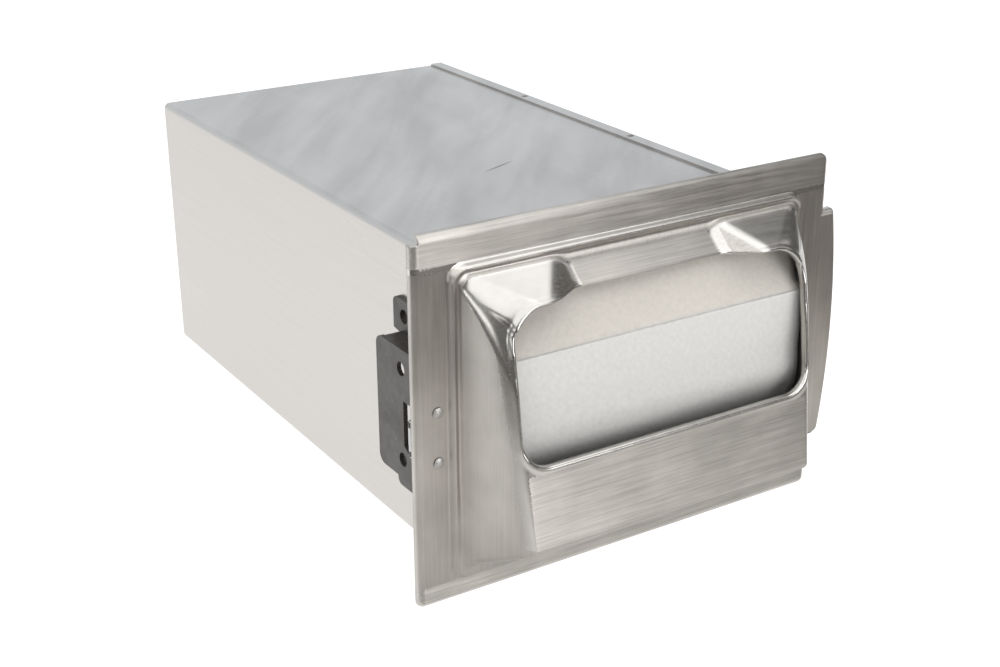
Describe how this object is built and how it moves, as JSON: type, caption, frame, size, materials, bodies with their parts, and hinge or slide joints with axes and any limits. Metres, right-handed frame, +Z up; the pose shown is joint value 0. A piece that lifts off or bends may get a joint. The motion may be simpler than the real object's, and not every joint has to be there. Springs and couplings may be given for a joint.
{
  "type": "recessed paper towel dispenser",
  "caption": "Wall-recessed folded paper towel dispenser: sheet casing with side brackets, sprung pusher and a hinged pressed face plate with a hooded mouth.",
  "frame": {"origin": "middle of the wall opening, on the wall's surface, level with the middle of the casing", "axes": "+X to the right seen from the room, +Y into the wall, +Z up"},
  "size_m": [0.2254, 0.3423, 0.1661],
  "materials": {
    "brushed_stainless": "brushed",
    "casing_sheet": "satin mill finish",
    "black_paint": "satin",
    "rivet_metal": "satin",
    "plain_steel": "zinc plated",
    "spring_steel": "oiled",
    "grey_plastic": "moulded",
    "magnet_black": "matte",
    "towel_paper": "soft matte"
  },
  "bodies": {
    "casing": {"casing_shell": "casing_sheet", "side_panel": "casing_sheet", "back_panel": "casing_sheet", "lap_rivets": "casing_sheet", "back_rivets": "rivet_metal", "left_bracket": "black_paint", "right_bracket": "black_paint", "bracket_rivets": "rivet_metal", "hinge_pin": "plain_steel", "catch_block": "grey_plastic", "catch_magnet": "magnet_black", "catch_rivets": "rivet_metal", "spring_seat": "plain_steel", "seat_rivet": "rivet_metal", "pusher_spring": "spring_steel", "towel_pile": "towel_paper", "front_towel": "towel_paper"},
    "door": {"face_plate": "brushed_stainless", "hinge_leaf": "plain_steel", "hinge_rivets": "rivet_metal", "strike_plate": "plain_steel"},
    "pusher": {"pusher_plate": "plain_steel", "pusher_glides": "grey_plastic", "pusher_rivets": "rivet_metal", "spring_cup": "plain_steel"}
  },
  "joints": [
    {"name": "door_hinge", "type": "hinge", "parent": "casing", "child": "door", "pos_m": [-0.1038, -0.0025, -0.00455], "axis": [0, 0, -1], "range_deg": [0, 100]},
    {"name": "pusher_slide", "type": "slide", "parent": "casing", "child": "pusher", "axis": [0, -1, 0], "range_m": [0, 0.204], "deforming": ["pusher_spring", "towel_pile"]}
  ]
}
